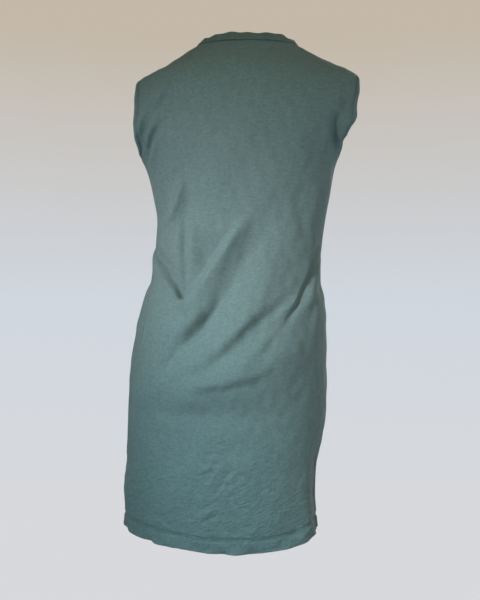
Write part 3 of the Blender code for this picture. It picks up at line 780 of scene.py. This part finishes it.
def uneven_relief(outer, heights, from_hem, from_neck, from_side):
    """Small unevenness of the cloth: soft waves, ripples, crumples near the hem and its lumps."""
    relief = SOFT_HEIGHT * waves(outer, *SOFT_WAVES)
    relief += RIPPLE_HEIGHT * waves(outer, *RIPPLE_WAVES)
    middle = np.exp(-((outer[..., 0] - CRUMPLE_MIDDLE) / CRUMPLE_REACH) ** 2)
    low = smooth_step((CRUMPLE_TOP - heights) / CRUMPLE_FADE)
    low = low * (CRUMPLE_ASIDE + (1.0 - CRUMPLE_ASIDE) * middle)
    crumple = waves(outer * np.array(CRUMPLE_STRETCH), *CRUMPLE_WAVES)
    relief += CRUMPLE_HEIGHT * low * (CRUMPLE_MEAN - np.sqrt(crumple ** 2 + CRUMPLE_SOFTNESS))
    near_hem = np.exp(-(from_hem / HEM_LUMP_REACH) ** 2)
    relief += HEM_LUMP_HEIGHT * waves(outer, *HEM_LUMP_WAVES) * near_hem
    return relief * (smooth_step(from_neck / NECK_CALM) * smooth_step(from_side / SIDE_CALM))


def sewing_relief(edge_level, from_hem, from_neck, from_side):
    """How far the stitch lines and seams of a panel are pulled in."""
    armhole = smooth_step((edge_level - UNDERARM) / EDGE_FADE)
    armhole = armhole * smooth_step((SHOULDER_TIP - edge_level) / EDGE_FADE)
    slit = smooth_step((SLIT_TOP - edge_level) / EDGE_FADE)
    relief = groove(from_hem, HEM_LINES)
    relief += armhole * groove(from_side, ARMHOLE_LINES)
    relief += slit * groove(from_side, SLIT_LINES)
    seam = SEAM_DIP * np.exp(-(from_side / SEAM_DIP_WIDTH) ** 2)
    relief -= (1.0 - armhole) * (1.0 - slit) * seam
    return relief - NECK_DIP * np.exp(-(from_neck / NECK_DIP_WIDTH) ** 2)


def panel_surface(panel):
    """Outer and inner grid of a panel, with its places on the cloth and the levels of its edges."""
    angles, heights = panel_grid(panel)
    base = form(panel, angles, heights)
    out = outward(form, panel, angles, heights)
    outer = base + fold_lift(base, out) + out * hang_height(angles, heights)[..., None]
    from_right = run_from(outer, 1, 0)
    from_left = run_from(outer, 1, -1)
    from_side = np.minimum(from_right, from_left)
    from_hem = run_from(outer, 0, 0)
    from_neck = run_from(outer, 0, -1)
    out = grid_normals(outer, out)
    edge_level = heights[:, :1]
    in_armhole = (edge_level > UNDERARM) & (edge_level < SHOULDER_TIP)
    in_slit = edge_level < SLIT_TOP
    sewn = ~(in_armhole | in_slit)
    relief = uneven_relief(outer, heights, from_hem, from_neck, from_side)
    relief += sewing_relief(edge_level, from_hem, from_neck, from_side)
    turned = np.where(in_armhole, from_side < ARMHOLE_TURN, False)
    turned |= np.where(in_slit, from_side < SLIT_TURN, False)
    turned |= from_hem < HEM_TURN
    wall = np.where(turned, HEM_WALL, WALL)
    free = np.minimum(from_hem, np.where(sewn, 1.0, from_side))
    roundness = np.maximum(round_edge(free), RIM / WALL)
    outer = outer + out * relief[..., None]
    middle = outer - out * (wall / 2.0)[..., None]
    half = wall / 2.0 * roundness
    outer = middle + out * half[..., None]
    inner = middle - out * half[..., None]
    centre = outer.shape[1] // 2
    across = run_from(outer, 1, 0)
    across = across - across[:, centre:centre + 1]
    return outer, inner, out, across, from_hem, heights[:, 0]


def stitch_run(points, normals, length, gap):
    """Stitches along a line on the cloth: start, end and outward direction of each."""
    steps = np.linalg.norm(np.diff(points, axis=0), axis=1)
    along = np.concatenate([[0.0], np.cumsum(steps)])
    starts = np.arange(gap, along[-1] - length, length + gap)
    pick = [np.stack([np.interp(at, along, values[:, k]) for k in range(3)], axis=-1)
            for at in (starts, starts + length) for values in (points, normals)]
    return pick[0], pick[2], unit(pick[1] + pick[3])


def stitch_mesh(name, runs, material):
    """Short threads lying on the cloth, all in one piece."""
    starts = np.concatenate([run[0] for run in runs])
    ends = np.concatenate([run[1] for run in runs])
    out = np.concatenate([run[2] for run in runs])
    along = unit(ends - starts)
    aside = unit(np.cross(along, out))
    rings = []
    for share, swell, lift in STITCH_SHAPE:
        centre = starts + (ends - starts) * share + out * (THREAD_RADIUS * lift)
        for k in range(STITCH_SIDES):
            turn = 2.0 * math.pi * k / STITCH_SIDES
            spoke = aside * math.cos(turn) + out * math.sin(turn)
            rings.append(centre + spoke * (THREAD_RADIUS * swell))
    points = np.stack(rings, axis=1)
    count = points.shape[1]
    pattern = []
    for ring in range(len(STITCH_SHAPE) - 1):
        for k in range(STITCH_SIDES):
            n = (k + 1) % STITCH_SIDES
            a = ring * STITCH_SIDES
            pattern.append([a + k, a + n, a + STITCH_SIDES + n, a + STITCH_SIDES + k])
    caps = [list(range(STITCH_SIDES))[::-1], list(range(count - STITCH_SIDES, count))]
    faces = []
    for s in range(len(points)):
        base = s * count
        faces += [[base + v for v in face] for face in pattern + caps]
    return make_mesh(name, points.reshape(-1, 3), faces, None, material)


def grid_line(grid, distances, wanted, axis):
    """The line on a grid at one distance from its first line along an axis."""
    moved = np.moveaxis(grid, axis, 0)
    away = np.moveaxis(distances, axis, 0)
    line = np.empty(moved.shape[1:])
    for j in range(moved.shape[1]):
        for k in range(3):
            line[j, k] = np.interp(wanted, away[:, j], moved[:, j, k])
    return line


def edge_runs(outer, out, from_hem, levels):
    """Stitches of a panel: round its hem, its armholes and its slits."""
    runs = []
    for line in HEM_LINES:
        points = grid_line(outer, from_hem, line, 0)
        normals = grid_line(out, from_hem, line, 0)
        runs.append(stitch_run(points, normals, STITCH_LENGTH, STITCH_GAP))
    parts = (((levels > UNDERARM) & (levels < SHOULDER_TIP), ARMHOLE_LINES),
             ((levels < SLIT_TOP), SLIT_LINES))
    for rows, lines in parts:
        for side in (1, -1):
            grid = outer[rows][:, ::side]
            facing = out[rows][:, ::side]
            away = run_from(grid, 1, 0)
            for line in lines:
                points = grid_line(grid, away, line, 1)
                normals = grid_line(facing, away, line, 1)
                runs.append(stitch_run(points, normals, STITCH_LENGTH, STITCH_GAP))
    return runs


def make_panel(panel, jersey, thread_with_painted_shade):
    """One panel with its sewing."""
    outer, inner, out, across, from_hem, levels = panel_surface(panel)
    piece = shell_piece(panel, outer, inner, across, from_hem, jersey)
    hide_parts(panel + "_panel")
    stitches = stitch_mesh(panel + "_stitches", edge_runs(outer, out, from_hem, levels), thread_with_painted_shade)


def band_stand(angle):
    """Angle, in radians, by which the neck band stands up from the panel it is sewn to."""
    back = np.clip(np.sin(angle), 0.0, 1.0)
    front = np.clip(-np.sin(angle), 0.0, 1.0)
    stand = BAND_STAND_SIDE + (BAND_STAND_BACK - BAND_STAND_SIDE) * back
    stand += (BAND_STAND_FRONT - BAND_STAND_SIDE) * front
    return np.radians(stand)


def neckline(angle):
    """Points of the neck seam and the outward direction of the cloth there."""
    turn = np.arcsin(np.clip(-np.sin(angle), 0.0, 1.0))
    height = -neck_drop(turn)
    front = (np.sin(angle) < 0.0)[:, None]
    seam = np.where(front, form("front", angle, height), form("back", angle, height))
    out = np.where(front, outward(form, "front", angle, height), outward(form, "back", angle, height))
    return seam, out


def make_band(band_jersey):
    """The folded strip that stands up round the neckline, a little wavy along its fold."""
    angle = np.linspace(0.0, 2.0 * np.pi, BAND_COLUMNS + 1)
    seam, out = neckline(angle)
    along = unit(np.gradient(seam, axis=0))
    along[0] = along[-1] = unit(along[0] + along[-1])
    rise = unit(np.cross(out, along))
    stand = band_stand(angle)[:, None]
    direction = rise * np.cos(stand) + out * np.sin(stand)
    face = out * np.cos(stand) - rise * np.sin(stand)
    run = np.concatenate([[0.0], np.cumsum(np.linalg.norm(np.diff(seam, axis=0), axis=1))])
    turn = 2.0 * np.pi * run / run[-1]
    wave = np.zeros(len(turn))
    bend = np.zeros(len(turn))
    for count, size, shift in BAND_WAVES:
        wave += size * np.sin(count * turn + shift)
        bend += size * np.cos(count * turn + BEND_SHIFT * shift)
    loop = []
    for step, depth in BAND_PROFILE:
        share = (step / BAND_WIDTH) ** 2
        place = seam + direction * (step + wave * share)[:, None] + face * (bend * share - depth)[:, None]
        loop.append(place)
    grid = np.stack(loop)
    rows, columns = grid.shape[0], grid.shape[1] - 1
    points = grid[:, :-1].reshape(-1, 3)
    index = np.arange(rows * columns).reshape(rows, columns)
    index = np.concatenate([index, index[:, :1]], axis=1)
    index = np.concatenate([index, index[:1]], axis=0)
    up = np.cumsum([0.0] + [math.dist(a, b) for a, b in zip(BAND_PROFILE[:-1], BAND_PROFILE[1:])])
    uvs = np.stack(np.meshgrid(run[:-1], up), axis=-1).reshape(-1, 2)
    piece = make_mesh("neck", points, quad_faces(index, False), uvs, band_jersey)
    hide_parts("neck_band")


def new_material(name):
    """An empty cloth material: its nodes, links and shader."""
    material = bpy.data.materials.new(name)
    material.use_nodes = True
    tree = material.node_tree
    return material, tree, tree.nodes["Principled BSDF"]


def add_node(tree, kind, values=(), **settings):
    """A node with its settings and the values of its inputs."""
    node = tree.nodes.new(kind)
    for name, value in settings.items():
        setattr(node, name, value)
    for name, value in values:
        node.inputs[name].default_value = value
    return node


def maths(tree, operation, first, second):
    """A maths node fed by sockets or numbers."""
    node = tree.nodes.new("ShaderNodeMath")
    node.operation = operation
    for k, value in enumerate((first, second)):
        if isinstance(value, (int, float)):
            node.inputs[k].default_value = value
        else:
            tree.links.new(value, node.inputs[k])
    return node.outputs[0]


def noise(tree, vector, scale, detail, roughness, distortion=0.0):
    """Soft noise between 0 and 1 at a place."""
    node = add_node(tree, "ShaderNodeTexNoise", (("Scale", scale), ("Detail", detail),
                                                 ("Roughness", roughness), ("Distortion", distortion)))
    tree.links.new(vector, node.inputs["Vector"])
    return node.outputs["Fac"]


def stretched(tree, vector, values, **settings):
    """A place scaled or turned, to stretch the noise that is read there."""
    node = add_node(tree, "ShaderNodeMapping", values, **settings)
    tree.links.new(vector, node.inputs["Vector"])
    return node.outputs["Vector"]


def relief_bump(tree, height, strength, depth):
    """A bump node for a relief."""
    bump = add_node(tree, "ShaderNodeBump", (("Strength", strength), ("Distance", depth)))
    tree.links.new(height, bump.inputs["Height"])
    return bump


def colour_ramp(tree, share, stops):
    """The colour at a share of the way through a few colours."""
    ramp = add_node(tree, "ShaderNodeValToRGB")
    first, last = ramp.color_ramp.elements
    first.position, first.color = stops[0]
    last.position, last.color = stops[-1]
    for position, colour in stops[1:-1]:
        ramp.color_ramp.elements.new(position).color = colour
    tree.links.new(share, ramp.inputs["Fac"])
    return ramp.outputs["Color"]


def level_share(tree, vector, levels):
    """How far a place has come from one level to another, between 0 and 1."""
    split = add_node(tree, "ShaderNodeSeparateXYZ")
    tree.links.new(vector, split.inputs[0])
    share = add_node(tree, "ShaderNodeMapRange", (("From Min", levels[0]), ("From Max", levels[1])))
    tree.links.new(split.outputs["Z"], share.inputs["Value"])
    return share.outputs["Result"]


def wrinkle_bump(tree, place, weave, shader):
    """Fine slanting wrinkles that grow towards the hem, on top of the weave's own relief."""
    values = (("Rotation", (0.0, WRINKLE_SLANT, 0.0)), ("Scale", WRINKLE_SPREAD))
    slanted = stretched(tree, place.outputs["Object"], values, vector_type="TEXTURE")
    field = noise(tree, slanted, WRINKLE_SCALE, 2.0, 0.5, 0.8)
    away = maths(tree, "ABSOLUTE", maths(tree, "SUBTRACT", field, 0.5), 0.0)
    crease = maths(tree, "MINIMUM", maths(tree, "MULTIPLY", away, WRINKLE_SHARPNESS), 1.0)
    low = level_share(tree, place.outputs["Object"], WRINKLE_LEVELS)
    bump = relief_bump(tree, maths(tree, "MULTIPLY", crease, low), 1.0, WRINKLE_DEPTH)
    tree.links.new(weave.outputs["Normal"], bump.inputs["Normal"])
    tree.links.new(bump.outputs["Normal"], shader.inputs["Normal"])


def knit_loops(tree, place):
    """The rows and courses of loops of a fine jersey."""
    split = add_node(tree, "ShaderNodeSeparateXYZ")
    tree.links.new(place.outputs["UV"], split.inputs[0])
    rows = []
    for socket, size in (("X", WALE), ("Y", COURSE_SHARE * WALE)):
        turn = maths(tree, "MULTIPLY", split.outputs[socket], 2.0 * math.pi / size)
        rows.append(maths(tree, "SINE", turn, 0.0))
    return maths(tree, "MULTIPLY", rows[0], rows[1])


def jersey_material(name, light, dark):
    """Fine single jersey: rows of loops, faint streaks along them, a mottle and a soft nap."""
    material, tree, shader = new_material(name)
    place = add_node(tree, "ShaderNodeTexCoord")
    along = stretched(tree, place.outputs["UV"], (("Scale", STREAK_SCALE),))
    streak = noise(tree, along, 1.0, 3.0, 0.7)
    mottle = noise(tree, place.outputs["Object"], MOTTLE_SCALE, 3.0, 0.8)
    nap = noise(tree, place.outputs["Object"], NAP_SCALE, 3.0, 0.6)
    shade = maths(tree, "MULTIPLY", nap, NAP_SHARE)
    for socket, share in ((mottle, MOTTLE_SHARE), (streak, STREAK_SHARE)):
        shade = maths(tree, "ADD", shade, maths(tree, "MULTIPLY", socket, share))
    colour = colour_ramp(tree, shade, ((RAMP_ENDS[0], dark), (RAMP_ENDS[1], light)))
    tree.links.new(colour, shader.inputs["Base Color"])
    rough = maths(tree, "ADD", maths(tree, "MULTIPLY", nap, ROUGHNESS_SPREAD), ROUGHNESS)
    tree.links.new(rough, shader.inputs["Roughness"])
    loops = maths(tree, "MULTIPLY", knit_loops(tree, place), LOOP_RELIEF)
    height = maths(tree, "ADD", loops, maths(tree, "MULTIPLY", shade, SHADE_RELIEF))
    wrinkle_bump(tree, place, relief_bump(tree, height, KNIT_STRENGTH, KNIT_DEPTH), shader)
    shader.inputs["Sheen Weight"].default_value = SHEEN
    shader.inputs["Sheen Roughness"].default_value = SHEEN_ROUGHNESS
    shader.inputs["Specular IOR Level"].default_value = SPECULAR
    return material


def thread_with_painted_shade_material():
    """Twisted sewing thread, its colour painted darker than the cloth as painted shade of the groove it lies
    in.
    """
    material, tree, shader = new_material("thread_with_painted_shade")
    place = add_node(tree, "ShaderNodeTexCoord")
    twist = noise(tree, place.outputs["Object"], TWIST_SCALE, 2.0, 0.5)
    bump = relief_bump(tree, twist, 0.5, TWIST_DEPTH)
    tree.links.new(bump.outputs["Normal"], shader.inputs["Normal"])
    shader.inputs["Base Color"].default_value = THREAD_COLOUR_WITH_PAINTED_SHADE
    shader.inputs["Roughness"].default_value = THREAD_ROUGHNESS
    return material


def stage_painted_light_material():
    """A matt pale studio stage that glows with painted light, cool below and a little warmer above."""
    material, tree, shader = new_material("stage_with_painted_light")
    place = add_node(tree, "ShaderNodeTexCoord")
    level = level_share(tree, place.outputs["Object"], STAGE_LEVELS)
    colour = colour_ramp(tree, level, STAGE_PAINTED_LIGHT)
    paint = add_node(tree, "ShaderNodeMix", (("Factor", STAGE_PAINT),), data_type="RGBA")
    paint.inputs[6].default_value = (0.0, 0.0, 0.0, 1.0)
    tree.links.new(colour, paint.inputs[7])
    tree.links.new(paint.outputs[2], shader.inputs["Base Color"])
    tree.links.new(colour, shader.inputs["Emission Color"])
    shader.inputs["Emission Strength"].default_value = STAGE_PAINTED_GLOW
    shader.inputs["Roughness"].default_value = 0.95
    shader.inputs["Specular IOR Level"].default_value = 0.0
    return material


def make_stage():
    """A round floor that curves up into a wall, with no horizon in any view."""
    profile = [(0.0, FLOOR_LEVEL), (FLOOR_RADIUS, FLOOR_LEVEL)]
    for share in np.linspace(0.0, 1.0, WALL_STEPS + 1)[1:]:
        turn = share * math.pi / 2.0
        profile.append((FLOOR_RADIUS + WALL_CURVE * math.sin(turn),
                        FLOOR_LEVEL + WALL_CURVE * (1.0 - math.cos(turn))))
    profile.append((FLOOR_RADIUS + WALL_CURVE, WALL_TOP))
    turns = np.linspace(0.0, 2.0 * math.pi, STAGE_STEPS + 1)[:-1]
    points = [(0.0, 0.0, FLOOR_LEVEL)]
    for reach, level in profile[1:]:
        points += [(reach * math.cos(t), reach * math.sin(t), level) for t in turns]
    faces = []
    for k in range(STAGE_STEPS):
        n = (k + 1) % STAGE_STEPS
        faces.append((0, 1 + k, 1 + n))
        for ring in range(len(profile) - 2):
            a = 1 + ring * STAGE_STEPS
            b = a + STAGE_STEPS
            faces.append((a + k, b + k, b + n, a + n))
    # The stage shows painted light: it glows with a gradient of cool and warm light
    stage_with_painted_light = put_in_scene("stage_with_painted_light", smooth_mesh("stage_with_painted_light", points, faces, stage_painted_light_material()))
    stage_with_painted_light.visible_diffuse = False


def aim(thing, place, target):
    """Put a lamp somewhere and turn it towards a point."""
    thing.location = place
    course = np.array(target) - np.array(place)
    yaw = math.atan2(course[1], course[0]) - math.pi / 2.0
    pitch = math.atan2(course[2], math.hypot(course[0], course[1])) + math.pi / 2.0
    thing.rotation_euler = (pitch, 0.0, yaw)


def make_lights():
    """Large soft lamps that the camera doesn't see, and a pale sky."""
    for name, place, target, size, spread, power, colour in LIGHTS:
        data = bpy.data.lights.new(name, "AREA")
        data.shape = "DISK"
        data.size = size
        data.spread = math.radians(spread)
        data.energy = power
        data.color = colour
        lamp = put_in_scene(name, data)
        aim(lamp, place, target)
        lamp.visible_camera = False
    make_sky()


def make_sky():
    """Soft light from all round, cool from below and dimmer and warmer from above."""
    world = bpy.data.worlds.new("studio")
    world.use_nodes = True
    tree = world.node_tree
    place = add_node(tree, "ShaderNodeTexCoord")
    level = level_share(tree, place.outputs["Generated"], SKY_LEVELS)
    background = tree.nodes["Background"]
    tree.links.new(colour_ramp(tree, level, SKY_COLOURS), background.inputs["Color"])
    background.inputs["Strength"].default_value = SKY_STRENGTH
    bpy.context.scene.world = world


def make_camera():
    """The photograph's view: level, straight at the back of the dress."""
    data = bpy.data.cameras.new("camera")
    data.lens = CAMERA_LENS
    camera = put_in_scene("camera", data)
    camera.location = CAMERA_PLACE
    camera.rotation_euler = (math.pi / 2.0, 0.0, math.pi)
    bpy.context.scene.camera = camera


def build():
    """The whole dress, its stage, lamps and camera."""
    jersey = jersey_material("jersey", JERSEY_LIGHT, JERSEY_DARK)
    band_jersey = jersey_material("band_jersey", BAND_LIGHT, BAND_DARK)
    thread_with_painted_shade = thread_with_painted_shade_material()
    make_panel("back", jersey, thread_with_painted_shade)
    make_panel("front", jersey, thread_with_painted_shade)
    make_band(band_jersey)
    make_stage()
    make_lights()
    make_camera()
    bpy.context.scene.view_settings.view_transform = "Standard"


build()
bpy.context.view_layer.update()
